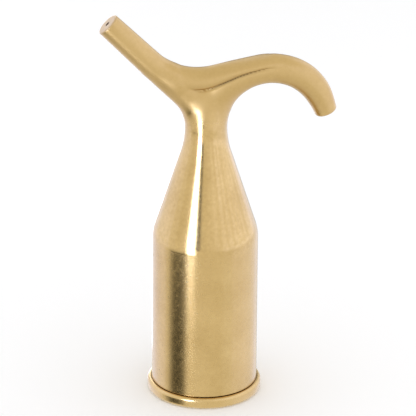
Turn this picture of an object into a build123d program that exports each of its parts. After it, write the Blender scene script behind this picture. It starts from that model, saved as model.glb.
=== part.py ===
"""Sash pole hook: a brass head with a prong and a hook, on a socket that caps a round pole.

Millimetres. +Z runs up the socket's axis from the mouth. The hook reaches along +X and the prong along -X.
The clamp screw enters the socket's wall from +Y.
"""

import math
import os

from build123d import *

# Pole and socket
pole_diameter = 25.0
pole_clearance = 0.25  # radial, pole in bore
socket_wall = 2.25
socket_length = 47.0  # mouth to the seam with the head
mouth_chamfer = 0.5

# Ring round the mouth
ring_height = 3.1
ring_stand_out = 1.2  # beyond the socket's wall
ring_seat_depth = 0.8  # rebate in the socket's wall that the ring sits in
ring_edge_radius = 0.9

# Head, the turned part
spigot_length = 6.0  # into the top of the socket
spigot_step = 0.5  # radial, between the pole's bore and the narrower seat of the spigot
spigot_gap = 0.03  # radial, filled by the brazing
spigot_chamfer = 0.6
shoulder_radius = 12.0
cone_angle = 17.9  # flank from the axis, degrees
neck_radius = 6.0
neck_curve_radius = 25.0

# Head, the bar that runs from the prong over the neck into the hook
saddle_x = -1.9  # lowest point of the bar's centreline
saddle_rise = 13.7  # above the thin of the neck
saddle_bend_radius = 19.6
saddle_bar_radius = 4.05
prong_angle = 45.0
prong_length = 16.8  # straight part
prong_root_radius = 3.75
prong_tip_radius = 3.4
prong_edge_radius = 0.4
dimple_radius = 0.6
dimple_depth = 0.7
arm_angle = 12.0
arm_length = 13.2
hook_bend_radius = 15.6
hook_turn = 72.0
hook_bar_radius = 4.15
tail_bar_radius = 3.9
tail_bend_radius = 22.0  # the hook opens out towards its end
tail_turn = 16.0
hook_end_radius = 3.3
hook_edge_radius = 1.0

# Head, the web that spreads from the neck into the bar
web_inset = 0.05  # its edges, inside the bar's skin
web_overlap = 2.5  # its top edge, above the bar's lowest centre
web_half_thickness = 2.4  # at the top edge
web_sections = 14
throat_share = 0.995  # of the throat's rise, past which the web's edge runs up inside the bar

# Clamp screw
screw_radius = 2.0  # over the thread
screw_clearance = 0.05  # radial, in the tapped hole
screw_height = 12.0  # above the mouth
screw_length = 6.4  # under the head, point included
screw_point_length = 1.3
screw_point_radius = 0.8
screw_tip_gap = 0.15  # from the point to the bore, backed out
screw_head_radius = 3.6
screw_head_height = 2.5
screw_head_edge_radius = 0.6
screw_slot_width = 1.0
screw_slot_depth = 1.1

# Worked out
bore_radius = pole_diameter / 2 + pole_clearance
socket_radius = bore_radius + socket_wall
ring_bore_radius = socket_radius - ring_seat_depth
ring_radius = socket_radius + ring_stand_out
seat_radius = bore_radius - spigot_step
seat_height = socket_length - spigot_length
spigot_radius = seat_radius - spigot_gap
flank = math.radians(cone_angle)
shoulder_x = socket_radius - shoulder_radius * (1 - math.cos(flank))
shoulder_z = socket_length + shoulder_radius * math.sin(flank)
neck_start_x = neck_radius + neck_curve_radius * (1 - math.cos(flank))
neck_start_z = shoulder_z + (shoulder_x - neck_start_x) / math.tan(flank)
neck_height = neck_start_z + neck_curve_radius * math.sin(flank)  # where the neck is thinnest
saddle_height = neck_height + saddle_rise
screw_tip_y = bore_radius + screw_tip_gap
screw_head_y = screw_tip_y + screw_length


# The bar's centreline, out from the saddle both ways
with BuildLine(Plane.XZ):
    saddle_left = JernArc((saddle_x, saddle_height), (-1, 0), saddle_bend_radius, -prong_angle)
    saddle_right = JernArc((saddle_x, saddle_height), (1, 0), saddle_bend_radius, arm_angle)
    prong_line = PolarLine(saddle_left @ 1, prong_length, direction=saddle_left % 1)
    arm_line = PolarLine(saddle_right @ 1, arm_length, direction=saddle_right % 1)
    hook_arc = JernArc(arm_line @ 1, arm_line % 1, hook_bend_radius, -hook_turn)
    tail_arc = JernArc(hook_arc @ 1, hook_arc % 1, tail_bend_radius, -tail_turn)

# The underarm's arc leaves the neck upright and meets a line just inside the prong's underside
underarm_turn = math.radians(90 - prong_angle)
prong_down = Vector(-math.cos(underarm_turn), 0, -math.sin(underarm_turn))
neck_side = Vector(-neck_radius, 0, neck_height)
arc_end = Vector(math.cos(underarm_turn) - 1, 0, math.sin(underarm_turn))
prong_offset = prong_root_radius - web_inset - (neck_side - saddle_left @ 1).dot(prong_down)
underarm_radius = prong_offset / arc_end.dot(prong_down)
hook_centre = hook_arc.arc_center
throat_reach = hook_centre.X - neck_radius
throat_rise = hook_centre.Z + hook_bend_radius - hook_bar_radius + web_inset - neck_height
web_height = saddle_rise + web_overlap


def between(start, end, share):
    """Value a share of the way from start to end, easing in and out."""
    eased = share * share * (3 - 2 * share)
    return start + (end - start) * eased


def underarm_x(height):
    """Web's edge on the prong's side: an arc off the neck, then a line along the prong's underside."""
    arc_rise = underarm_radius * math.sin(underarm_turn)
    rise = min(height, arc_rise)
    reach = underarm_radius - math.sqrt(underarm_radius**2 - rise**2)
    return -neck_radius - reach - (height - rise) * math.tan(underarm_turn)


def throat_x(height):
    """Web's edge on the hook's side: a quarter ellipse from the neck up to the hook's underside."""
    share = min(height / throat_rise, throat_share)
    return neck_radius + throat_reach * (1 - math.sqrt(1 - share**2))


with BuildPart() as pole_socket:
    with BuildSketch(Plane.XZ):
        with BuildLine():
            Polyline(
                (bore_radius + mouth_chamfer, 0),
                (ring_bore_radius, 0),
                (ring_bore_radius, ring_height),
                (socket_radius, ring_height),
                (socket_radius, socket_length),
                (seat_radius, socket_length),
                (seat_radius, seat_height),
                (bore_radius, seat_height),
                (bore_radius, mouth_chamfer),
                close=True,
            )
        make_face()
    revolve(axis=Axis.Z)
    with BuildSketch(Plane(origin=(0, screw_tip_y - socket_wall, screw_height), z_dir=(0, 1, 0))):
        Circle(screw_radius + screw_clearance)
    extrude(amount=3 * socket_wall, mode=Mode.SUBTRACT)

with BuildPart() as mouth_ring:
    with BuildSketch(Plane.XY):
        Circle(ring_radius)
        Circle(ring_bore_radius, mode=Mode.SUBTRACT)
    extrude(amount=ring_height)
    outer_face = mouth_ring.faces().filter_by(GeomType.CYLINDER).sort_by(SortBy.AREA)[-1]
    fillet(outer_face.edges(), ring_edge_radius)

# The bar's stretches from the prong's tip to the hook's: the line, 1 or -1 for which way the bar runs
# along it, the radius at each end, and how many steps its sections take
bar_stretches = [
    (prong_line, -1, prong_tip_radius, prong_root_radius, 6),
    (saddle_left, -1, prong_root_radius, saddle_bar_radius, 6),
    (saddle_right, 1, saddle_bar_radius, hook_bar_radius, 2),
    (arm_line, 1, hook_bar_radius, hook_bar_radius, 5),
    (hook_arc, 1, hook_bar_radius, tail_bar_radius, 8),
    (tail_arc, 1, tail_bar_radius, hook_end_radius, 3),
]

with BuildPart() as bar:
    for line, way, first_radius, last_radius, steps in bar_stretches:
        last_step = steps if line is tail_arc else steps - 1
        for step in range(last_step + 1):
            share = step / steps
            along = share if way > 0 else 1 - share
            with BuildSketch(Plane(origin=line @ along, x_dir=(0, 1, 0), z_dir=(line % along) * way)):
                Circle(between(first_radius, last_radius, share))
    loft()
    fillet(bar.faces().sort_by(Axis.X)[0].edges(), prong_edge_radius)
    fillet(bar.faces().sort_by(Axis.Z)[0].edges(), hook_edge_radius)

with BuildPart() as web:
    for step in range(web_sections):
        share = step / (web_sections - 1)
        height = web_height * share
        left = underarm_x(height)
        right = throat_x(height)
        half_thickness = between(neck_radius, web_half_thickness, share)
        with BuildSketch(Plane.XY.offset(neck_height + height)):
            with Locations(((left + right) / 2, 0)):
                Ellipse((right - left) / 2, half_thickness)
    loft()

with BuildPart() as hook_head:
    with BuildSketch(Plane.XZ):
        with BuildLine():
            spigot = Polyline(
                (0, neck_height),
                (0, seat_height),
                (spigot_radius - spigot_chamfer, seat_height),
                (spigot_radius, seat_height + spigot_chamfer),
                (spigot_radius, socket_length),
                (socket_radius, socket_length),
            )
            shoulder = JernArc(spigot @ 1, (0, 1), shoulder_radius, cone_angle)
            Line(shoulder @ 1, (neck_start_x, neck_start_z))
            JernArc((neck_start_x, neck_start_z), shoulder % 1, neck_curve_radius, -cone_angle)
            Line((neck_radius, neck_height), (0, neck_height))
        make_face()
    revolve(axis=Axis.Z)
    add(web.part)
    add(bar.part)

    with BuildSketch(Plane(prong_line @ 1, z_dir=prong_line % 1)):
        Circle(dimple_radius)
    extrude(amount=-dimple_depth, mode=Mode.SUBTRACT)

with BuildPart() as clamp_screw:
    with BuildSketch(Plane(origin=(0, screw_tip_y, screw_height))):
        with BuildLine():
            Polyline(
                (0, 0),
                (screw_point_radius, 0),
                (screw_radius, screw_point_length),
                (screw_radius, screw_length),
                (screw_head_radius, screw_length),
                (screw_head_radius, screw_length + screw_head_height),
                (0, screw_length + screw_head_height),
                close=True,
            )
        make_face()
    revolve(axis=Axis((0, screw_tip_y, screw_height), (0, 1, 0)))
    head_face = clamp_screw.faces().sort_by(Axis.Y)[-1]
    fillet(head_face.edges(), screw_head_edge_radius)
    with BuildSketch(Plane(origin=(0, screw_head_y + screw_head_height, screw_height), z_dir=(0, 1, 0))):
        Rectangle(3 * screw_head_radius, screw_slot_width)
    extrude(amount=-screw_slot_depth, mode=Mode.SUBTRACT)

os.makedirs("parts", exist_ok=True)

pole_socket.part.label = "pole_socket"
export_step(pole_socket.part, "parts/pole_socket.step")

mouth_ring.part.label = "mouth_ring"
export_step(mouth_ring.part, "parts/mouth_ring.step")

hook_head.part.label = "hook_head"
export_step(hook_head.part, "parts/hook_head.step")

clamp_screw.part.label = "clamp_screw"
export_step(clamp_screw.part, "parts/clamp_screw.step")
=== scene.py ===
import math

import bpy
import bmesh
import numpy as np
from mathutils import Matrix, Vector


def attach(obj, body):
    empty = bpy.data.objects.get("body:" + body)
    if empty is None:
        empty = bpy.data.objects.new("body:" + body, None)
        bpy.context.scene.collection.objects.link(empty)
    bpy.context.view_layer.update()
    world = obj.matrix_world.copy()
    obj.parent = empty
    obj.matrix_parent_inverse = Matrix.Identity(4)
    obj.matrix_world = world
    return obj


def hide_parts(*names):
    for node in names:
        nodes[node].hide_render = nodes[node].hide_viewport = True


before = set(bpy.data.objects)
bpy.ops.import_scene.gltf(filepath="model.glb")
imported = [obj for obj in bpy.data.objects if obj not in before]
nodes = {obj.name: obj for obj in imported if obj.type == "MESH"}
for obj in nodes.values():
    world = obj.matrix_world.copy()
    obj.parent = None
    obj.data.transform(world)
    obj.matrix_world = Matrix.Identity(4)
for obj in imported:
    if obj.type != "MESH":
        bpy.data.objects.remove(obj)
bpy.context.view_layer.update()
mm = 0.001
print("frame loaded:", ", ".join(sorted(nodes)))

camera = {
    "aim": Vector((0.78, 0, 55.5)) * mm,
    "distance": 1.3775,
    "azimuth": -3.7,  # degrees, 0 looks along +Y
    "elevation": 24.0,
    "roll": 0.45,
    "lens": 421.4,
    "sensor": 36.0,
    "near": 0.05,
    "far": 20.0,
}


def wayOut(azimuth, elevation):
    # the way out from the object, in degrees; azimuth 0 is towards -Y and elevation 0 is level
    turned, raised = math.radians(azimuth), math.radians(elevation)
    return Vector((
        math.sin(turned) * math.cos(raised),
        -math.cos(turned) * math.cos(raised),
        math.sin(raised),
    ))


def inScene(name, data):
    thing = bpy.data.objects.new(name, data)
    bpy.context.scene.collection.objects.link(thing)
    return thing


def placeCamera(values):
    data = bpy.data.cameras.new("camera")
    data.lens = values["lens"]
    data.sensor_width = values["sensor"]
    data.clip_start = values["near"]
    data.clip_end = values["far"]
    rig = inScene("camera", data)
    azimuth = math.radians(values["azimuth"])
    back = wayOut(values["azimuth"], values["elevation"])
    right = Vector((math.cos(azimuth), math.sin(azimuth), 0))
    up = back.cross(right)
    roll = Matrix.Rotation(math.radians(values["roll"]), 3, "Z")
    turn = Matrix((right, up, back)).transposed() @ roll
    rig.matrix_world = Matrix.Translation(values["aim"] + back * values["distance"]) @ turn.to_4x4()
    bpy.context.scene.camera = rig


placeCamera(camera)
print("camera placed")

# The head's shape, in millimetres and degrees. Below the neck it is turned. Above, three tubes run into
# each other: the bar from the prong over the saddle, the stem that grows out of the neck into the hook,
# and the root that grows out of the neck into the prong.
head = {
    "coneAngle": 17.9,
    "socketRadius": 15.0,
    "shoulderRadius": 12.0,
    "seam": 47.0,
    "neckRadius": 6.0,
    "neckCurve": 25.0,
    "spigotRadius": 12.22,
    "spigotBottom": 41.0,
    "saddle": (-1.9, 94.4),  # lowest point of the bar's centreline, X and Z
    "saddleBend": 19.6,
    "prongAngle": 45.0,
    "prongLength": 16.8,
    "armAngle": 12.0,
    "armLength": 13.2,
    "hookBend": 15.6,
    "hookTurn": 72.0,
    "tailBend": 22.0,
    "tailTurn": 16.0,
    "pastEnd": 3.0,  # the tubes run on past the ends, which are cut to length later
    "pastTurn": 1.4,  # times the tail's turn, for its length and what runs on
    "underarmRadius": 10.74,
    "hookRadius": 4.15,
    "rootReach": 13.0,
    "domeFall": 0.045,
    "creaseBlend": 0.16,
    "creaseDepth": 0.25,
    "creaseWidth": 0.35,
    # painted shade: how wide the dark line painted along the crease is
    "paintedShadeWidth": 0.19,
    "voxel": 0.30,
}
flank = math.radians(head["coneAngle"])
shoulderX = head["socketRadius"] - head["shoulderRadius"] * (1 - math.cos(flank))
shoulderZ = head["seam"] + head["shoulderRadius"] * math.sin(flank)
neckStartX = head["neckRadius"] + head["neckCurve"] * (1 - math.cos(flank))
neckStartZ = shoulderZ + (shoulderX - neckStartX) / math.tan(flank)
neckZ = neckStartZ + head["neckCurve"] * math.sin(flank)
saddleX, saddleZ = head["saddle"]
prongTurn = math.radians(head["prongAngle"])
prongX = saddleX - head["saddleBend"] * math.sin(prongTurn)
prongZ = saddleZ + head["saddleBend"] * (1 - math.cos(prongTurn))
pathStep = 0.25
hair = 1e-6  # keeps a division, or a radius counted from a cut's own, off zero


def smoothStep(low, high, at):
    share = np.clip((at - low) / (high - low), 0, 1)
    return share * share * (3 - 2 * share)


def smoothMin(one, two, blend):
    # the lesser of two distances, rounded where they are within the blend of each other
    share = np.clip(0.5 + 0.5 * (two - one) / blend, 0, 1)
    return two + (one - two) * share - blend * share * (1 - share)


def pathPoints(start, heading, runs):
    # runs are (length, turn in degrees), turn to the left positive; returns points and headings
    x, z = start
    angle = math.radians(heading)
    points, angles = [(x, z)], [angle]
    for length, turn in runs:
        count = max(2, math.ceil(length / pathStep))
        stride = length / count
        halfTurn = math.radians(turn) / count / 2
        for _ in range(count):
            angle += halfTurn
            x += stride * math.cos(angle)
            z += stride * math.sin(angle)
            angle += halfTurn
            points.append((x, z))
            angles.append(angle)
    return np.array(points), np.array(angles)


def eased(at, places, values, spread=8):
    # straight runs between the given values, with their corners rounded off
    line = np.interp(at, places, values)
    weights = np.hanning(2 * spread + 3)[1:-1]
    return np.convolve(np.pad(line, spread, mode="edge"), weights / weights.sum(), "valid")


def arcLength(radius, degrees):
    return radius * math.radians(degrees)


def ellipseDistance(x, y, wide, deep):
    # close to the true distance near the ellipse's edge
    scaled = np.sqrt((x / wide) ** 2 + (y / deep) ** 2) + hair
    slope = np.sqrt((x / wide ** 2) ** 2 + (y / deep ** 2) ** 2) / scaled + hair
    return (scaled - 1) / slope


class Tube:
    # a tube round a flat path, with its own half height in the path's plane and half depth along Y
    def __init__(self, points, angles, halfHeight, halfDepth):
        self.points = points
        self.ways = np.stack([np.cos(angles), np.sin(angles)], 1)
        self.halfHeight = halfHeight
        self.halfDepth = halfDepth
        gaps = np.linalg.norm(np.diff(points, axis=0), axis=1)
        self.run = np.concatenate([[0], np.cumsum(gaps)])
        self.heightSlope = np.gradient(halfHeight, self.run)
        self.depthSlope = np.gradient(halfDepth, self.run)

    def distance(self, places, batch=20000, reach=0.3):
        # in batches, which keeps the table of gaps small
        out = np.empty(len(places))
        squares = (self.points ** 2).sum(1)[None]
        for first in range(0, len(places), batch):
            part = places[first:first + batch]
            flat = part[:, [0, 2]]
            near = ((flat ** 2).sum(1)[:, None] - 2 * flat @ self.points.T + squares).argmin(1)
            off = flat - self.points[near]
            way = self.ways[near]
            along = (off * way).sum(1)
            across = off[:, 1] * way[:, 0] - off[:, 0] * way[:, 1]
            before = (near == 0) & (along < 0)
            after = (near == len(self.points) - 1) & (along > 0)
            past = np.where(before | after, np.abs(along), 0)
            along = np.clip(along, -reach, reach)
            high = self.halfHeight[near] + self.heightSlope[near] * along
            deep = self.halfDepth[near] + self.depthSlope[near] * along
            out[first:first + batch] = ellipseDistance(across, part[:, 1], high, deep) + past
        return out


def barTube():
    # prong, saddle and arm; past the saddle the bar rides up on the stem and thins to a lip
    reach = head["prongLength"] + head["pastEnd"]
    start = (prongX - reach * math.cos(prongTurn), prongZ + reach * math.sin(prongTurn))
    saddleTurn = head["prongAngle"] + head["armAngle"]
    lipTurn = 62
    points, angles = pathPoints(start, -head["prongAngle"], [
        (reach, 0),
        (arcLength(head["saddleBend"], saddleTurn), saddleTurn),
        (head["armLength"], 0),
        (arcLength(head["hookBend"], lipTurn), -lipTurn),
    ])
    # sizes at places along X
    x = points[:, 0]
    radius = eased(x, [-30, prongX, saddleX, 6, 18, 23, 30], [3.35, 3.68, 3.95, 4.0, 4.05, 3.55, 2.9])
    lift = eased(x, [-8, -4, 0, 2, 4, 6.5, 8.5, 12, 15, 19, 26],
                 [0, 0.3, 0.55, 0.6, 0.75, 1.1, 1.5, 1.85, 1.95, 1.9, 1.5], 4)
    thinning = eased(x, [-4, 5, 12, 19, 26], [0, 0, 0.05, 0.25, 0.9])
    lifted = points + lift[:, None] * np.stack([-np.sin(angles), np.cos(angles)], 1)
    return Tube(lifted, angles, radius - lift, radius - thinning)


def offsetPath(outline, inward, height):
    # a tube whose near side runs along an outline
    points = outline + inward * height[:, None]
    way = np.gradient(points, axis=0)
    return points, np.arctan2(way[:, 1], way[:, 0])


def stemTube():
    # out of the neck along the throat, over the crest and down the hook
    armTurn = math.radians(head["armAngle"])
    bends = head["saddleBend"] + head["hookBend"]
    crestX = saddleX + bends * math.sin(armTurn) + head["armLength"] * math.cos(armTurn)
    crestZ = saddleZ + bends * (1 - math.cos(armTurn)) + head["armLength"] * math.sin(armTurn)
    angle = np.linspace(0, math.pi / 2, 90)
    reach, rise = crestX - head["neckRadius"], crestZ - head["hookRadius"] - neckZ
    outline = np.stack([crestX - reach * np.cos(angle), neckZ + rise * np.sin(angle)], 1)
    inward = np.stack([-np.cos(angle) / reach, np.sin(angle) / rise], 1)
    inward /= np.linalg.norm(inward, axis=1)[:, None]
    # half sizes by how far the throat has turned, in degrees
    turned, turnedAt = np.degrees(angle), [0, 30, 55, 75, 90]
    growHeight = eased(turned, turnedAt, [5.9, 5.7, 4.4, 3.85, 4.1])
    growDepth = eased(turned, turnedAt, [5.9, 4.35, 4.0, 3.8, 3.85])
    grow, growAngles = offsetPath(outline, inward, growHeight)
    hookTurn = head["hookTurn"] - head["armAngle"]
    hook, hookAngles = pathPoints((crestX, crestZ), 0, [
        (arcLength(head["hookBend"], hookTurn), -hookTurn),
        (arcLength(head["tailBend"], head["tailTurn"]) + head["pastEnd"],
         -head["tailTurn"] * head["pastTurn"]),
    ])
    # half sizes by how far along the hook
    run = pathStep * np.arange(len(hook))
    hookHeight = eased(run, [0, 10, 16, 22], [4.15, 4.08, 3.8, 3.15])[1:]
    hookDepth = eased(run, [0, 5, 10, 16, 22], [3.85, 4.05, 4.05, 3.8, 3.15])[1:]
    tuck = eased(run, [0, 8, 22], [0, 0, 0.45])
    hook = hook + tuck[:, None] * np.stack([np.sin(hookAngles), -np.cos(hookAngles)], 1)
    return Tube(np.vstack([grow, hook[1:]]), np.concatenate([growAngles, hookAngles[1:]]),
                np.concatenate([growHeight, hookHeight]), np.concatenate([growDepth, hookDepth]))


def rootTube():
    # out of the neck along the underarm and up into the prong
    bend = head["underarmRadius"]
    angle = np.linspace(0, math.pi / 2 - prongTurn, 50)
    arc = np.stack([bend * (np.cos(angle) - 1) - head["neckRadius"], neckZ + bend * np.sin(angle)], 1)
    along = np.linspace(pathStep, head["rootReach"], 50)
    line = arc[-1] + along[:, None] * np.array([-math.cos(prongTurn), math.sin(prongTurn)])
    inward = np.stack([np.cos(angle), np.sin(angle)], 1)
    inward = np.vstack([inward, np.repeat(inward[-1:], len(along), axis=0)])
    # half sizes by how far along the tube
    run, runAt = np.concatenate([bend * angle, bend * angle[-1] + along]), [0, 4.5, 8.5, 12.5, 17, 22]
    height = eased(run, runAt, [5.9, 5.3, 4.6, 4.05, 3.6, 3.1])
    depth = eased(run, runAt, [5.9, 4.3, 4.0, 3.8, 3.45, 3.0])
    points, angles = offsetPath(np.vstack([arc, line]), inward, height)
    return Tube(points, angles, height, depth)


def neckCurve(z):
    # radius of the neck's hollow flank
    inside = np.clip(head["neckCurve"] ** 2 - (neckZ - z) ** 2, 1, None)
    return head["neckRadius"] + head["neckCurve"] - np.sqrt(inside)


def neckDistance(places):
    # the turned neck, carried on as a dome that sinks into the fork
    z = places[:, 2]
    cone = neckStartX + (neckStartZ - z) * math.tan(flank)
    dome = head["neckRadius"] - head["domeFall"] * (z - neckZ) ** 2
    radius = np.where(z > neckZ, dome, np.where(z > neckStartZ, neckCurve(z), cone))
    return np.hypot(places[:, 0], places[:, 1]) - radius


bar = barTube()
stem = stemTube()
root = rootTube()


def headParts(places):
    # distances to the bar and to what it rides on, and where the crease between them shows
    x, z = places[:, 0], places[:, 2]
    crotch = 0.15 + 2.4 * smoothStep(neckZ + 2, neckZ + 9, z)
    lower = smoothMin(root.distance(places), stem.distance(places), crotch)
    neck = neckDistance(places)
    sink = 0.3 + 1.4 * smoothStep(neckZ, neckZ + 7, z)
    forked = smoothStep(neckZ - 0.3, neckZ + 2.2, z)  # 0 where the neck is only turned
    lower = neck + forked * (smoothMin(neck, lower, sink) - neck)
    shows = smoothStep(-9, -4, x) * (1 - smoothStep(15, 20, x))
    return bar.distance(places), lower, shows


def headDistance(places):
    x = places[:, 0]
    upper, lower, shows = headParts(places)
    soft = np.where(x < 5, 0.3 + 2.2 * smoothStep(-15, -6, x), 0.3)
    blend = soft + (head["creaseBlend"] - soft) * shows
    groove = shows * smoothStep(-5, 0, x) * np.exp(-((upper - lower) / head["creaseWidth"]) ** 2)
    return smoothMin(upper, lower, blend) + head["creaseDepth"] * groove


def creasePaintedShade(places):
    # painted shade along the crease, 0 to 1, darkening the colour where shade falls in the valley; none on
    # top, where the two skins also meet
    upper, lower, shows = headParts(places)
    x = places[:, 0]
    above = places[:, 2] - np.interp(x, bar.points[:, 0], bar.points[:, 1])
    share = shows * smoothStep(-5, 3.5, x) * (1 - smoothStep(11, 18, x))
    share *= 1 - smoothStep(0.6, 1.6, above)
    return share * np.exp(-((upper - lower) / head["paintedShadeWidth"]) ** 2)


def headSlopes(places, step=0.01):
    base = headDistance(places)
    slopes = np.empty_like(places)
    for axis in range(3):
        moved = places.copy()
        moved[:, axis] += step
        slopes[:, axis] = (headDistance(moved) - base) / step
    return base, slopes


def settle(places, turns, longest=0.6):
    # moves points along the slope until they lie on the surface
    for _ in range(turns):
        base, slopes = headSlopes(places)
        size = np.clip((slopes ** 2).sum(1), 0.05, None)
        move = (base / size)[:, None] * slopes
        length = np.linalg.norm(move, axis=1)[:, None]
        places = places - move * np.minimum(1, longest / np.maximum(length, 1e-9))
    return places


# The head's mesh
def cleanCopy(node, name):
    mesh = node.data.copy()
    work = bmesh.new()
    work.from_mesh(mesh)
    bmesh.ops.remove_doubles(work, verts=work.verts, dist=0.00001)
    work.to_mesh(mesh)
    work.free()
    return inScene(name, mesh)


def applied(thing):
    # the evaluated mesh takes the place of the object's own, and its modifiers go
    graph = bpy.context.evaluated_depsgraph_get()
    mesh = bpy.data.meshes.new_from_object(thing.evaluated_get(graph))
    thing.modifiers.clear()
    old = thing.data
    thing.data = mesh
    bpy.data.meshes.remove(old)
    return thing


def coordinates(mesh):
    flat = np.empty(len(mesh.vertices) * 3)
    mesh.vertices.foreach_get("co", flat)
    return flat.reshape(-1, 3)


def relax(mesh, places, turns, pull=0.6):
    # evens out the grid along the surface, settling it again each time
    edges = np.empty(len(mesh.edges) * 2, dtype=np.int64)
    mesh.edges.foreach_get("vertices", edges)
    edges = edges.reshape(-1, 2)
    count = np.bincount(edges.ravel(), minlength=len(places))[:, None]
    for _ in range(turns):
        total = np.zeros_like(places)
        for axis in range(3):
            total[:, axis] = (np.bincount(edges[:, 0], places[edges[:, 1], axis], len(places))
                              + np.bincount(edges[:, 1], places[edges[:, 0], axis], len(places)))
        places = places + pull * (total / count - places)
        places = settle(places, 1)
    return settle(places, 2)


ends = {
    "ringPoints": 112,
    "reach": 14.0,  # an end's own faces lie within this of it
    "flat": 0.03,  # and its cut loop within this of the cut's plane
    "neckCut": 1.2,  # under the neck's thinnest place
    "neckGap": 0.35,  # from that cut to the first turned ring
    "gridFoot": 3.0,  # the grid is kept this far under the neck's thinnest place
    "prongCut": 2.2,  # short of the prong's end face
    "prongEdge": 0.4,
    "prongTaper": 0.045,
    "prongFace": 2.1,  # radius of a ring on the flat face
    "dimpleRadius": 0.62,
    "dimpleDepth": 0.8,
    "dimpleLip": 0.25,
    "hookCut": 2.2,
    "hookEdge": 1.05,
    "hookTaper": 0.1,
    "hookFace": 1.4,
    "seamEdge": 0.035,
    "spigotEdge": 0.6,
}


def ringAround(work, centre, u, v, radius):
    count = ends["ringPoints"]
    verts = []
    for step in range(count):
        angle = 2 * math.pi * step / count
        verts.append(work.verts.new((centre + radius * (u * math.cos(angle) + v * math.sin(angle))) * mm))
    return verts


def joinRings(work, one, two):
    for step in range(len(one)):
        after = (step + 1) % len(one)
        work.faces.new((one[step], one[after], two[after], two[step]))


def zipLoops(work, one, two, centre, u, v):
    # stitches two closed loops round one axis that have different numbers of points
    def byAngle(verts):
        keyed = []
        for vert in verts:
            off = vert.co / mm - centre
            keyed.append((math.atan2(off.dot(v), off.dot(u)) % (2 * math.pi), vert))
        keyed.sort(key=lambda pair: pair[0])
        return keyed

    def after(keyed, step):
        # the next point's angle, past a full turn once round, and the point
        angle, vert = keyed[(step + 1) % len(keyed)]
        return angle + (2 * math.pi if step + 1 >= len(keyed) else 0), vert

    one, two = byAngle(one), byAngle(two)
    first = second = 0
    while first < len(one) or second < len(two):
        firstAngle, firstVert = after(one, first)
        secondAngle, secondVert = after(two, second)
        here, there = one[first % len(one)][1], two[second % len(two)][1]
        if second >= len(two) or (first < len(one) and firstAngle <= secondAngle):
            work.faces.new((here, firstVert, there))
            first += 1
        else:
            work.faces.new((here, secondVert, there))
            second += 1


def cutEnd(work, centre, outward):
    # cuts off what lies past the plane and returns the open loop it leaves
    def isNear(vert):
        return (vert.co / mm - centre).length < ends["reach"]

    near = [vert for vert in work.verts if isNear(vert)]
    faces = {face for vert in near for face in vert.link_faces}
    edges = {edge for face in faces for edge in face.edges}
    verts = {vert for face in faces for vert in face.verts}
    bmesh.ops.bisect_plane(work, geom=list(verts) + list(edges) + list(faces), dist=0.00002,
                           plane_co=centre * mm, plane_no=outward, clear_outer=True)
    loop = {vert for edge in work.edges if edge.is_boundary for vert in edge.verts
            if abs((vert.co / mm - centre).dot(outward)) < ends["flat"] and isNear(vert)}
    return list(loop)


def closeEnd(work, centre, outward, profile):
    # profile is (distance past the cut, radius) for each ring, the last at the axis; a negative radius is
    # that much less than the cut's own
    loop = cutEnd(work, centre, outward)
    across = Vector((0, 1, 0))
    if abs(outward.dot(across)) > 0.9:
        across = Vector((1, 0, 0))
    v = outward.cross(across).normalized()
    cutRadius = sum((vert.co / mm - centre).length for vert in loop) / len(loop)
    for vert in loop:
        off = vert.co / mm - centre
        off -= off.dot(outward) * outward
        vert.co = (centre + off * cutRadius / off.length) * mm
    rings = []
    for past, radius in profile:
        place = centre + outward * past
        if radius == 0:
            rings.append([work.verts.new(place * mm)])
            continue
        rings.append(ringAround(work, place, across, v, cutRadius + radius if radius < 0 else radius))
    zipLoops(work, loop, rings[0], centre, across, v)
    for one, two in zip(rings, rings[1:]):
        if len(two) == 1:
            for step in range(len(one)):
                work.faces.new((one[step], one[(step + 1) % len(one)], two[0]))
        else:
            joinRings(work, one, two)


def roundedEnd(length, taper, edge, steps, inner, spacing=0.3):
    # side wall, rounded edge and flat face, then the inner rings; negative radii count from the cut's own
    rows = []
    wall = length - edge
    walls = int(wall / spacing)
    for step in range(1, walls):
        past = wall * step / walls
        rows.append((past, -taper * past / wall - hair))
    for step in range(steps + 1):
        angle = math.pi / 2 * step / steps
        rows.append((wall + edge * math.sin(angle), -taper - edge * (1 - math.cos(angle)) - hair))
    return rows + inner


def turnedProfile():
    # (z, radius) down from the neck's cut to the spigot's underside
    top = neckZ - ends["neckCut"] - ends["neckGap"]
    neckSteps, coneSteps, shoulderSteps = 12, 24, 9
    rows = []
    for step in range(neckSteps + 1):
        z = top + (neckStartZ - top) * step / neckSteps
        rows.append((z, float(neckCurve(z))))
    for step in range(1, coneSteps + 1):
        share = step / coneSteps
        rows.append((neckStartZ + (shoulderZ - neckStartZ) * share,
                     neckStartX + (shoulderX - neckStartX) * share))
    bend, side, seam = head["shoulderRadius"], head["socketRadius"], head["seam"]
    for step in range(1, shoulderSteps):
        angle = flank * (1 - step / shoulderSteps)
        rows.append((seam + bend * math.sin(angle), side - bend * (1 - math.cos(angle))))
    # the seam's small edge, then the spigot
    edge, spigot, chamfer = ends["seamEdge"], head["spigotRadius"], ends["spigotEdge"]
    rows += [(seam + 2 * edge, side), (seam + edge, side), (seam + edge * 0.3, side - edge * 0.3)]
    rows += [(seam, side - edge), (seam, spigot + 2 * chamfer), (seam, spigot), (seam - 0.5, spigot)]
    rows += [(head["spigotBottom"] + chamfer, spigot), (head["spigotBottom"], spigot - chamfer)]
    rows += [(head["spigotBottom"], spigot * share) for share in (0.6, 0.3, 0)]
    return rows


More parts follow.
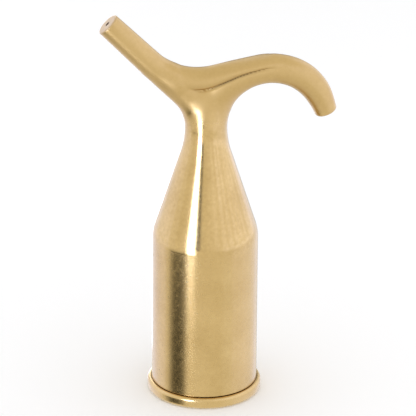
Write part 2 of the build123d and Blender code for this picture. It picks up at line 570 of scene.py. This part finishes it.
def makeHead(sharp=34):
    # above the neck the CAD shape gives the grid and the distances give the true surface;
    # the ends and all below the neck are turned rings stitched on
    thing = cleanCopy(nodes["hook_head"], "head")
    remesh = thing.modifiers.new("grid", "REMESH")
    remesh.mode = "VOXEL"
    remesh.voxel_size = head["voxel"] * mm
    applied(thing)
    work = bmesh.new()
    work.from_mesh(thing.data)
    down = Vector((0, 0, -1))
    foot = Vector((0, 0, neckZ - ends["gridFoot"]))
    bmesh.ops.bisect_plane(work, geom=work.verts[:] + work.edges[:] + work.faces[:],
                           plane_co=foot * mm, plane_no=down, clear_outer=True)
    work.to_mesh(thing.data)
    work.free()
    places = coordinates(thing.data) / mm
    print("head grid:", len(places), "points")
    places = relax(thing.data, settle(places, 4), 6)
    thing.data.vertices.foreach_set("co", (places * mm).ravel())

    work = bmesh.new()
    work.from_mesh(thing.data)
    cut = neckZ - ends["neckCut"]
    closeEnd(work, Vector((0, 0, cut)), down, [(cut - z, radius) for z, radius in turnedProfile()])

    prongWay = Vector((-math.cos(prongTurn), 0, math.sin(prongTurn)))
    prongTip = Vector((prongX, 0, prongZ)) + prongWay * head["prongLength"]
    dimple, depth, length = ends["dimpleRadius"], ends["dimpleDepth"], ends["prongCut"]
    inner = [(length, ends["prongFace"]), (length, dimple + ends["dimpleLip"]),
             (length - 0.03, dimple), (length - depth * 0.6, dimple * 0.55), (length - depth, 0)]
    closeEnd(work, prongTip - prongWay * length, prongWay,
             roundedEnd(length, ends["prongTaper"], ends["prongEdge"], 6, inner))

    tailPlace, tailWay = hookTail()
    length = ends["hookCut"]
    closeEnd(work, tailPlace, tailWay,
             roundedEnd(length, ends["hookTaper"], ends["hookEdge"], 8,
                        [(length, ends["hookFace"]), (length, 0)]))
    bmesh.ops.recalc_face_normals(work, faces=work.faces)
    openEdges = sum(1 for edge in work.edges if not edge.is_manifold)
    for face in work.faces:
        face.smooth = True
    for edge in work.edges:
        if len(edge.link_faces) == 2 and edge.calc_face_angle(0) > math.radians(sharp):
            edge.smooth = False
    work.to_mesh(thing.data)
    work.free()
    places = coordinates(thing.data) / mm
    off = places - np.array(prongTip)
    along = off @ np.array(prongWay)
    beside = np.linalg.norm(off - along[:, None] * np.array(prongWay), axis=1)
    dimpled = (along < -0.02) & (along > -1.5 * depth) & (beside < dimple + 0.1)
    # painted shade: dark painted into the prong's dimple and along the crease; bare marks the cut face's own
    # colour
    marks = {
        "paintedShade": np.where(dimpled, 1.0, np.where(places[:, 2] > neckZ + 4, creasePaintedShade(places), 0.0)),
        "bare": 1.0 * (along > -0.3),
    }
    for label, values in marks.items():
        thing.data.attributes.new(label, "FLOAT", "POINT").data.foreach_set("value", values)
    print("head mesh:", len(thing.data.polygons), "faces,", openEdges, "open edges")
    return thing


def hookTail():
    # where the hook is cut near its end, and which way it points
    last = np.searchsorted(stem.run, stem.run[-1] - head["pastEnd"] - ends["hookCut"])
    x, z = stem.points[last]
    wayX, wayZ = stem.ways[last]
    return Vector((x, 0, z)), Vector((wayX, 0, wayZ))


headPiece = makeHead()
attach(headPiece, "fitting")
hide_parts("hook_head")


# The turned pieces, and the trees that make them
def socketNames(group):
    return {item.name: item.identifier for item in group.interface.items_tree if item.item_type == "SOCKET"}


def newTree(name, inputs):
    group = bpy.data.node_groups.new(name, "GeometryNodeTree")
    for label, kind in inputs:
        group.interface.new_socket(label, in_out="INPUT", socket_type="NodeSocket" + kind)
    group.interface.new_socket("Geometry", in_out="OUTPUT", socket_type="NodeSocketGeometry")
    return group, group.nodes.new("NodeGroupInput"), group.nodes.new("NodeGroupOutput")


def endTree(group, start, end, made):
    real = group.nodes.new("GeometryNodeRealizeInstances")
    finish = group.nodes.new("GeometryNodeSetMaterial")
    group.links.new(made, real.inputs["Geometry"])
    group.links.new(real.outputs["Geometry"], finish.inputs["Geometry"])
    group.links.new(start.outputs["Material"], finish.inputs["Material"])
    group.links.new(finish.outputs["Geometry"], end.inputs["Geometry"])
    return group


def buildLathe():
    # turns the profile it is given round the Z axis; the profile's X is measured from the radius
    group, start, end = newTree("lathe", (
        ("Profile", "Geometry"), ("Radius", "Float"), ("Steps", "Int"), ("Material", "Material")))
    line = group.nodes.new("GeometryNodeMeshToCurve")
    circle = group.nodes.new("GeometryNodeCurvePrimitiveCircle")
    sweep = group.nodes.new("GeometryNodeCurveToMesh")
    link = group.links.new
    link(start.outputs["Profile"], line.inputs["Mesh"])
    link(start.outputs["Radius"], circle.inputs["Radius"])
    link(start.outputs["Steps"], circle.inputs["Resolution"])
    link(circle.outputs["Curve"], sweep.inputs["Curve"])
    link(line.outputs["Curve"], sweep.inputs["Profile Curve"])
    return endTree(group, start, end, sweep.outputs["Mesh"])


def buildThread():
    # a ridge that climbs round the Z axis
    group, start, end = newTree("thread", (
        ("Geometry", "Geometry"), ("Radius", "Float"), ("Depth", "Float"), ("Pitch", "Float"),
        ("Turns", "Float"), ("Material", "Material")))
    link = group.links.new

    def maths(operation, one, two):
        node = group.nodes.new("ShaderNodeMath")
        node.operation = operation
        link(one, node.inputs[0])
        link(two, node.inputs[1])
        return node.outputs[0]

    spiral = group.nodes.new("GeometryNodeCurveSpiral")
    middle = maths("SUBTRACT", start.outputs["Radius"], start.outputs["Depth"])
    spiral.inputs["Resolution"].default_value = 40
    link(start.outputs["Turns"], spiral.inputs["Rotations"])
    link(middle, spiral.inputs["Start Radius"])
    link(middle, spiral.inputs["End Radius"])
    link(maths("MULTIPLY", start.outputs["Pitch"], start.outputs["Turns"]), spiral.inputs["Height"])
    ridge = group.nodes.new("GeometryNodeCurvePrimitiveCircle")
    ridge.inputs["Resolution"].default_value = 4
    link(start.outputs["Depth"], ridge.inputs["Radius"])
    sweep = group.nodes.new("GeometryNodeCurveToMesh")
    sweep.inputs["Fill Caps"].default_value = True
    link(spiral.outputs["Curve"], sweep.inputs["Curve"])
    link(ridge.outputs["Curve"], sweep.inputs["Profile Curve"])
    return endTree(group, start, end, sweep.outputs["Mesh"])


def grown(name, mesh, group, values):
    # puts the tree on an object, sets its inputs, and keeps what it makes as a plain mesh
    thing = inScene(name, mesh)
    tree = thing.modifiers.new("tree", "NODES")
    tree.node_group = group
    names = socketNames(group)
    for label, value in values.items():
        tree[names[label]] = value
    thing.update_tag()
    bpy.context.view_layer.update()
    return applied(thing)


def profileMesh(rows, radius):
    # rows are (radius, height) in millimetres, joined up into a closed line
    mesh = bpy.data.meshes.new("profile")
    verts = [((out - radius) * mm, -z * mm, 0) for out, z in rows]
    mesh.from_pydata(verts, [(step, (step + 1) % len(rows)) for step in range(len(rows))], [])
    return mesh


def corner(out, z, edge, fromAngle, toAngle, steps):
    # a rounded corner about its own centre, angles from the outward side
    rows = []
    for step in range(steps + 1):
        angle = math.radians(fromAngle + (toAngle - fromAngle) * step / steps)
        rows.append((out + edge * math.cos(angle), z + edge * math.sin(angle)))
    return rows


def smoothed(thing, limit=30):
    # outward normals, smooth sides and sharp edges where the surface turns more than the limit
    work = bmesh.new()
    work.from_mesh(thing.data)
    bmesh.ops.remove_doubles(work, verts=work.verts, dist=0.0000005)
    bmesh.ops.recalc_face_normals(work, faces=work.faces)
    openEdges = sum(1 for edge in work.edges if not edge.is_manifold)
    for face in work.faces:
        face.smooth = True
    for edge in work.edges:
        edge.smooth = len(edge.link_faces) == 2 and edge.calc_face_angle(0) < math.radians(limit)
    work.to_mesh(thing.data)
    work.free()
    print(thing.name, "mesh:", len(thing.data.polygons), "faces,", openEdges, "open edges")
    return thing


def markPaintedShade(thing, shade):
    # stores how much painted shade each point gets, from its radius and height in millimetres
    places = coordinates(thing.data) / mm
    paintedShade = thing.data.attributes.new("paintedShade", "FLOAT", "POINT")
    paintedShade.data.foreach_set("value", shade(np.hypot(places[:, 0], places[:, 1]), places[:, 2]))
    return thing


def cutWith(thing, cutter):
    # takes the cutter's shape out of the piece
    cut = thing.modifiers.new("cut", "BOOLEAN")
    cut.object = cutter
    cut.solver = "EXACT"
    bpy.context.view_layer.update()
    applied(thing)
    bpy.data.objects.remove(cutter)
    return thing


def blockMesh(name, verts, faces):
    mesh = bpy.data.meshes.new(name)
    mesh.from_pydata(verts, [], faces)
    work = bmesh.new()
    work.from_mesh(mesh)
    bmesh.ops.recalc_face_normals(work, faces=work.faces)
    work.to_mesh(mesh)
    work.free()
    return inScene(name, mesh)


def rod(name, radius, fromY, toY, z, sides=64):
    # a plain rod along Y
    verts, faces = [], []
    for y in (fromY, toY):
        for step in range(sides):
            angle = 2 * math.pi * step / sides
            verts.append(Vector((radius * math.cos(angle), y, z + radius * math.sin(angle))) * mm)
    for step in range(sides):
        after = (step + 1) % sides
        faces.append((step, after, sides + after, sides + step))
    faces.append(tuple(reversed(range(sides))))
    faces.append(tuple(range(sides, 2 * sides)))
    return blockMesh(name, verts, faces)


lathe = buildLathe()
thread = buildThread()

socket = {
    "bore": 12.75,
    "outside": 15.0,
    "seat": 12.25,
    "seatBottom": 41.0,
    "height": 47.0,
    "mouthChamfer": 0.5,
    "rebate": 14.2,
    "rebateHeight": 3.1,
    "footEdge": 0.16,  # small chamfer at the dark line above the ring; the line is also painted shade
    "topEdge": 0.035,
    "rings": (8, 16, 30),  # heights that break up the long wall
    "holeHeight": 12.0,
    "holeRadius": 2.05,
    "steps": 160,
}


def makeSocket(values, material):
    bore, outside, foot = values["bore"], values["outside"], values["footEdge"]
    rows = [
        (bore + values["mouthChamfer"], 0), (values["rebate"], 0), (values["rebate"], values["rebateHeight"]),
        (outside - foot, values["rebateHeight"]), (outside, values["rebateHeight"] + foot * 1.4),
        *((outside, z) for z in values["rings"]),
        (outside, values["height"] - values["topEdge"]), (outside - values["topEdge"], values["height"]),
        (values["seat"], values["height"]), (values["seat"], values["seatBottom"]),
        (bore, values["seatBottom"]),
        *((bore, z) for z in reversed(values["rings"])), (bore, values["mouthChamfer"]),
    ]
    piece = grown("socket", profileMesh(rows, bore), lathe,
                  {"Radius": bore * mm, "Steps": values["steps"], "Material": material})
    piece = smoothed(piece)
    hole = rod("hole", values["holeRadius"], bore - 2, outside + 2, values["holeHeight"])
    piece = smoothed(cutWith(piece, hole))
    low = values["rebateHeight"]
    # painted shade: dark painted in the narrow gap above the ring
    return markPaintedShade(piece, lambda out, z: 1.0 * (np.abs(z - low) < 0.05) * (out > bore + 1))


ring = {
    "bore": 14.2,
    "outside": 16.2,
    "height": 3.1,
    "edge": 0.9,
    "boreEdge": 0.06,
    "seen": 15.0,  # radius where it comes out from under the socket
    "steps": 160,
}


def makeRing(values, material):
    small, edge = values["boreEdge"], values["edge"]
    inner, outer, height = values["bore"] + small, values["outside"] - edge, values["height"]
    rows = corner(outer, edge, edge, -90, 0, 8) + corner(outer, height - edge, edge, 0, 90, 8)
    rows += [(values["seen"] + 0.2, height), (values["seen"] + 0.05, height)]
    rows += corner(inner, height - small, small, 90, 180, 2) + corner(inner, small, small, 180, 270, 2)
    piece = grown("ring", profileMesh(rows, values["bore"]), lathe,
                  {"Radius": values["bore"] * mm, "Steps": values["steps"], "Material": material})
    # painted shade: dark painted on the top, where it runs in under the socket
    return markPaintedShade(smoothed(piece), lambda out, z: 1.0 * (out < values["seen"] + 0.1) * (z > height - 0.5))


screw = {
    "height": 12.0,
    "tip": 12.9,
    "point": 0.8,
    "pointLength": 1.3,
    "outside": 2.0,
    "threadDepth": 0.36,
    "pitch": 0.7,
    "length": 6.4,
    "headRadius": 3.6,
    "headHeight": 2.5,
    "headEdge": 0.6,
    "underEdge": 0.15,  # rounding under the head
    "undercut": 0.3,
    "slotWidth": 1.0,
    "slotDepth": 1.1,
    "steps": 72,
}


def slotBlock(half, slot, low, high):
    # a block across the screw's head
    outline = ((-half, -slot), (half, -slot), (half, slot), (-half, slot))
    verts = [Vector((x, y, z)) * mm for z in (low, high) for x, y in outline]
    sides = [(0, 1, 5, 4), (1, 2, 6, 5), (2, 3, 7, 6), (3, 0, 4, 7)]
    return blockMesh("slot", verts, [(3, 2, 1, 0), (4, 5, 6, 7)] + sides)


def makeScrew(values, material):
    core = values["outside"] - values["threadDepth"] - 0.02
    length, top = values["length"], values["length"] + values["headHeight"]
    wide, edge, under = values["headRadius"], values["headEdge"], values["underEdge"]
    axis = 0.02  # the profile stops just short of the axis
    rows = [(axis, 0), (values["point"], 0)]
    rows += [(core, values["pointLength"]), (core, length - values["undercut"]), (core, length)]
    rows += corner(wide - under, length + under, under, -90, 0, 3)
    rows += corner(wide - edge, top - edge, edge, 0, 90, 7)
    rows += [(axis, top)]
    body = grown("screw", profileMesh(rows, axis / 2), lathe,
                 {"Radius": axis / 2 * mm, "Steps": values["steps"], "Material": material})
    block = slotBlock(1.5 * wide, values["slotWidth"] / 2, top - values["slotDepth"], top + 1)
    body = cutWith(smoothed(body), block)
    turns = (length - values["undercut"] - values["pointLength"] - 0.2) / values["pitch"]
    ridge = grown("ridge", bpy.data.meshes.new("empty"), thread, {
        "Radius": values["outside"] * mm,
        "Depth": values["threadDepth"] * mm,
        "Pitch": values["pitch"] * mm,
        "Turns": turns,
        "Material": material,
    })
    work = bmesh.new()
    work.from_mesh(ridge.data)
    work.transform(Matrix.Translation((0, 0, (values["pointLength"] + 0.1) * mm)))
    work.from_mesh(body.data)
    # laid down along Y, with the slot level
    place = Matrix.Translation((0, values["tip"] * mm, values["height"] * mm))
    work.transform(place @ Matrix.Rotation(math.radians(-90), 4, "X"))
    work.to_mesh(body.data)
    work.free()
    bpy.data.objects.remove(ridge)
    return smoothed(body)


# The finishes
def newGroup(name, inputs, outputs):
    group = bpy.data.node_groups.new(name, "ShaderNodeTree")
    for label, kind, value in inputs:
        socket = group.interface.new_socket(label, in_out="INPUT", socket_type=kind)
        if value is not None:
            socket.default_value = value
    for label, kind in outputs:
        group.interface.new_socket(label, in_out="OUTPUT", socket_type=kind)
    return group, group.nodes.new("NodeGroupInput"), group.nodes.new("NodeGroupOutput")


def addNode(tree, kind, **settings):
    node = tree.nodes.new(kind)
    for key, value in settings.items():
        setattr(node, key, value)
    return node


def mapRange(tree, source, low, high, toLow, toHigh):
    node = addNode(tree, "ShaderNodeMapRange")
    for label, value in (("From Min", low), ("From Max", high), ("To Min", toLow), ("To Max", toHigh)):
        if isinstance(value, bpy.types.NodeSocket):
            tree.links.new(value, node.inputs[label])
        else:
            node.inputs[label].default_value = value
    tree.links.new(source, node.inputs["Value"])
    return node.outputs["Result"]


def noise(tree, vector, scale, detail, roughness=0.55):
    node = addNode(tree, "ShaderNodeTexNoise")
    node.inputs["Scale"].default_value = scale
    node.inputs["Detail"].default_value = detail
    node.inputs["Roughness"].default_value = roughness
    tree.links.new(vector, node.inputs["Vector"])
    return node.outputs["Fac"]


def mixColours(tree, share, one, two):
    node = addNode(tree, "ShaderNodeMix", data_type="RGBA")
    for socket, value in ((node.inputs[0], share), (node.inputs[6], one), (node.inputs[7], two)):
        if isinstance(value, bpy.types.NodeSocket):
            tree.links.new(value, socket)
        else:
            socket.default_value = value
    return node.outputs[2]


def buildBrassTone():
    # slow colour change, fine mottling and the grain's height, from object coordinates in metres
    group, start, end = newGroup("brassTone", [
        ("Vector", "NodeSocketVector", None),
        ("Light", "NodeSocketColor", (0.8, 0.6, 0.3, 1)),
        ("Deep", "NodeSocketColor", (0.5, 0.3, 0.1, 1)),
        ("Patches", "NodeSocketFloat", 0.5),
        ("Mottle", "NodeSocketFloat", 0.5),
    ], [("Color", "NodeSocketColor"), ("Rough", "NodeSocketFloat"), ("Height", "NodeSocketFloat")])
    vector = start.outputs["Vector"]
    slow = noise(group, vector, scale=95.0, detail=2.0)
    fine = noise(group, vector, scale=900.0, detail=4.0, roughness=0.65)
    grain = noise(group, vector, scale=3400.0, detail=3.0, roughness=0.7)
    slow = mapRange(group, slow, 0.3, 0.7, 0.0, start.outputs["Patches"])
    fineShare = mapRange(group, fine, 0.3, 0.7, 0.0, start.outputs["Mottle"])
    total = addNode(group, "ShaderNodeMath", operation="ADD")
    group.links.new(slow, total.inputs[0])
    group.links.new(fineShare, total.inputs[1])
    colour = mixColours(group, total.outputs[0], start.outputs["Light"], start.outputs["Deep"])
    height = addNode(group, "ShaderNodeMath", operation="MULTIPLY_ADD")
    height.inputs[1].default_value = 0.5
    group.links.new(grain, height.inputs[0])
    group.links.new(fine, height.inputs[2])
    group.links.new(colour, end.inputs["Color"])
    group.links.new(mapRange(group, fine, 0.3, 0.7, -0.5, 0.5), end.inputs["Rough"])
    group.links.new(height.outputs[0], end.inputs["Height"])
    return group


def buildTurnedLines():
    # fine lines round the Z axis, as a lathe and emery cloth leave them
    group, start, end = newGroup("turnedLines", [
        ("Vector", "NodeSocketVector", None),
        ("Pitch", "NodeSocketFloat", 5000.0),
    ], [("Height", "NodeSocketFloat")])
    parts = addNode(group, "ShaderNodeSeparateXYZ")
    group.links.new(start.outputs["Vector"], parts.inputs[0])
    around = addNode(group, "ShaderNodeMath", operation="ARCTAN2")
    group.links.new(parts.outputs["Y"], around.inputs[0])
    group.links.new(parts.outputs["X"], around.inputs[1])
    up = addNode(group, "ShaderNodeMath", operation="MULTIPLY")
    group.links.new(parts.outputs["Z"], up.inputs[0])
    group.links.new(start.outputs["Pitch"], up.inputs[1])
    both = addNode(group, "ShaderNodeCombineXYZ")
    group.links.new(around.outputs[0], both.inputs["X"])
    group.links.new(up.outputs[0], both.inputs["Z"])
    lines = noise(group, both.outputs[0], scale=1.0, detail=3.0, roughness=0.6)
    group.links.new(lines, end.inputs["Height"])
    return group


brassTone = buildBrassTone()
turnedLines = buildTurnedLines()

brass = {
    "light": (0.66, 0.462, 0.188, 1),
    "deep": (0.51, 0.338, 0.118, 1),
    # painted shade: the near-black brown painted into the crease, the dimple and the gaps by the ring
    "paintedShade": (0.07, 0.038, 0.012, 1),
    "bare": (0.53, 0.372, 0.175, 1),
    "lacquer": 0.35,
    "lacquerRoughness": 0.12,
    "smoother": 0.04,  # the mottling takes off this much roughness, or adds the next
    "rougher": 0.05,
    "grainDepth": 0.00003,
    "satinFrom": 80,  # heights, millimetres, between which the head goes from polished to satin
    "satinFull": 88,
    "satinRoughness": 0.22,
    "satinDepth": 0.6,
}


def addBump(tree, height, strength, normal=None):
    bump = addNode(tree, "ShaderNodeBump")
    bump.inputs["Strength"].default_value = strength
    bump.inputs["Distance"].default_value = brass["grainDepth"]
    tree.links.new(height, bump.inputs["Height"])
    if normal is not None:
        tree.links.new(normal, bump.inputs["Normal"])
    return bump.outputs["Normal"]


def brassFinish(name, patches, mottle, roughness, grainBump, lineBump=0.0, satin=False):
    material = bpy.data.materials.new(name)
    material.use_nodes = True
    tree = material.node_tree
    shader = tree.nodes["Principled BSDF"]
    shader.inputs["Metallic"].default_value = 1.0
    shader.inputs["Coat Weight"].default_value = brass["lacquer"]
    shader.inputs["Coat Roughness"].default_value = brass["lacquerRoughness"]
    place = addNode(tree, "ShaderNodeTexCoord")
    tone = addNode(tree, "ShaderNodeGroup", node_tree=brassTone)
    tone.inputs["Light"].default_value = brass["light"]
    tone.inputs["Deep"].default_value = brass["deep"]
    tone.inputs["Patches"].default_value = patches
    tone.inputs["Mottle"].default_value = mottle
    tree.links.new(place.outputs["Object"], tone.inputs["Vector"])
    colour = tone.outputs["Color"]
    rough = mapRange(tree, tone.outputs["Rough"], -0.5, 0.5,
                     roughness - brass["smoother"], roughness + brass["rougher"])
    if satin:
        # the bars are left satin, and the prong's cut face is bare
        low, high = brass["satinFrom"] * mm, brass["satinFull"] * mm
        parts = addNode(tree, "ShaderNodeSeparateXYZ")
        tree.links.new(place.outputs["Object"], parts.inputs[0])
        total = addNode(tree, "ShaderNodeMath", operation="ADD")
        tree.links.new(rough, total.inputs[0])
        more = mapRange(tree, parts.outputs["Z"], low, high, 0.0, brass["satinRoughness"])
        tree.links.new(more, total.inputs[1])
        rough = total.outputs[0]
        deeper = mapRange(tree, parts.outputs["Z"], low, high, 0.0, brass["satinDepth"])
        colour = mixColours(tree, deeper, colour, brass["deep"])
        bare = addNode(tree, "ShaderNodeAttribute", attribute_name="bare")
        colour = mixColours(tree, bare.outputs["Fac"], colour, brass["bare"])
    # painted shade: the attribute darkens the colour where shade would fall
    paintedShade = addNode(tree, "ShaderNodeAttribute", attribute_name="paintedShade")
    colour = mixColours(tree, paintedShade.outputs["Fac"], colour, brass["paintedShade"])
    tree.links.new(colour, shader.inputs["Base Color"])
    tree.links.new(rough, shader.inputs["Roughness"])
    normal = addBump(tree, tone.outputs["Height"], grainBump)
    if lineBump:
        lines = addNode(tree, "ShaderNodeGroup", node_tree=turnedLines)
        tree.links.new(place.outputs["Object"], lines.inputs["Vector"])
        normal = addBump(tree, lines.outputs["Height"], lineBump, normal)
    tree.links.new(normal, shader.inputs["Normal"])
    return material


def paint(thing, material):
    thing.data.materials.clear()
    thing.data.materials.append(material)


headBrass = brassFinish("head_brass", patches=0.5, mottle=0.45, roughness=0.17, grainBump=0.35, satin=True)
socketBrass = brassFinish("socket_brass", patches=0.5, mottle=0.35, roughness=0.24, grainBump=0.06,
                          lineBump=0.4)
ringBrass = brassFinish("ring_brass", patches=0.4, mottle=0.25, roughness=0.25, grainBump=0.06, lineBump=0.2)
screwBrass = brassFinish("screw_brass", patches=0.4, mottle=0.25, roughness=0.22, grainBump=0.2)
paint(headPiece, headBrass)
print("finishes made")

socketPiece = makeSocket(socket, socketBrass)
ringPiece = makeRing(ring, ringBrass)
screwPiece = makeScrew(screw, screwBrass)
for piece, body, node, slot in (
    (socketPiece, "fitting", "pole_socket", "socket_brass"),
    (ringPiece, "fitting", "mouth_ring", "ring_brass"),
    (screwPiece, "screw", "clamp_screw", "screw_brass"),
):
    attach(piece, body)
    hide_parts(node)
print("turned pieces made")

# Floor and light
studio = {
    "floorSize": 6.0,
    "floorDrop": 0.0001,
    "floorRoughness": 0.9,
    "floorTone": (0.985, 0.985, 0.985, 1),
    "world": 1.0,
    "cardDistance": 0.35,
    "cardGap": 0.001,  # each card is this much nearer than the one before
    "cardCentre": Vector((0, 0, 0.055)),
}


def makeFloor():
    bpy.ops.mesh.primitive_plane_add(size=studio["floorSize"], location=(0, 0, -studio["floorDrop"]))
    floor = bpy.context.object
    floor.name = "floor"
    material = bpy.data.materials.new("floor_white")
    material.use_nodes = True
    shader = material.node_tree.nodes["Principled BSDF"]
    shader.inputs["Base Color"].default_value = studio["floorTone"]
    shader.inputs["Roughness"].default_value = studio["floorRoughness"]
    paint(floor, material)
    floor.visible_glossy = False


def makeWorld():
    world = bpy.data.worlds.new("studio")
    bpy.context.scene.world = world
    world.use_nodes = True
    sky = world.node_tree.nodes["Background"]
    sky.inputs["Color"].default_value = (1, 1, 1, 1)
    sky.inputs["Strength"].default_value = studio["world"]


def makeCard(name, azimuths, elevations, tone, distance):
    # a softbox or a dark flag that only the brass sees, as far round and up as the angles say
    rows, columns = 6, 8
    verts, faces = [], []
    for row in range(rows + 1):
        for column in range(columns + 1):
            azimuth = azimuths[0] + (azimuths[1] - azimuths[0]) * column / columns
            elevation = elevations[0] + (elevations[1] - elevations[0]) * row / rows
            verts.append(studio["cardCentre"] + distance * wayOut(azimuth + camera["azimuth"], elevation))
    for row in range(rows):
        for column in range(columns):
            first = row * (columns + 1) + column
            faces.append((first, first + 1, first + columns + 2, first + columns + 1))
    mesh = bpy.data.meshes.new(name)
    mesh.from_pydata(verts, [], faces)
    thing = inScene(name, mesh)
    material = bpy.data.materials.new(name)
    material.use_nodes = True
    tree = material.node_tree
    tree.nodes.clear()
    glow = addNode(tree, "ShaderNodeEmission")
    glow.inputs["Color"].default_value = (*tone, 1)
    tree.links.new(glow.outputs[0], addNode(tree, "ShaderNodeOutputMaterial").inputs["Surface"])
    paint(thing, material)
    for way in ("camera", "diffuse", "transmission", "volume_scatter", "shadow"):
        setattr(thing, "visible_" + way, False)


# azimuths from the camera's side, elevations, and how bright; the world behind them is 1
cards = {
    "rightWide": ((6, 150), (-6, 50), (1.08, 1.09, 1.15)),
    "rightSoft": ((20, 150), (-9, 50), (1.2, 1.23, 1.4)),
    "rightBox": ((38, 150), (-12, 50), (1.34, 1.4, 1.8)),
    "rightLowSoft": ((40, 150), (-50, -12.5), (1.05, 1.07, 1.14)),
    "rightLow": ((62, 150), (-50, -12.5), (1.15, 1.18, 1.45)),
    "leftSoft": ((-150, -66), (-15, 50), (1.08, 1.1, 1.2)),
    "leftBox": ((-150, -82), (-18, 50), (1.2, 1.25, 1.6)),
    "leftLow": ((-150, -92), (-50, -18.5), (1.15, 1.18, 1.5)),
    "strip": ((-37, -21.5), (-20.5, 15), (8.0, 9.0, 14.0)),
    "stripFoot": ((-32, -24.5), (-31, -21), (1.2, 1.17, 1.12)),
    "flagEdge": ((-81, -40), (-44, -20), (0.4, 0.4, 0.4)),
    "flag": ((-73, -45), (-44, -21), (0.06, 0.06, 0.05)),
    "gap": ((-19, -10.5), (-8, 18), (0.05, 0.05, 0.05)),
    "backStrip": ((-168, -157), (-32, 30), (2.6, 2.75, 3.4)),
    "backFlag": ((166, 186), (-44, 20), (0.22, 0.22, 0.22)),
}

makeFloor()
makeWorld()
for order, (cardName, (azimuths, elevations, tone)) in enumerate(cards.items()):
    makeCard(cardName, azimuths, elevations, tone, studio["cardDistance"] - studio["cardGap"] * order)
bpy.context.scene.view_settings.view_transform = "Standard"
print("studio lit")
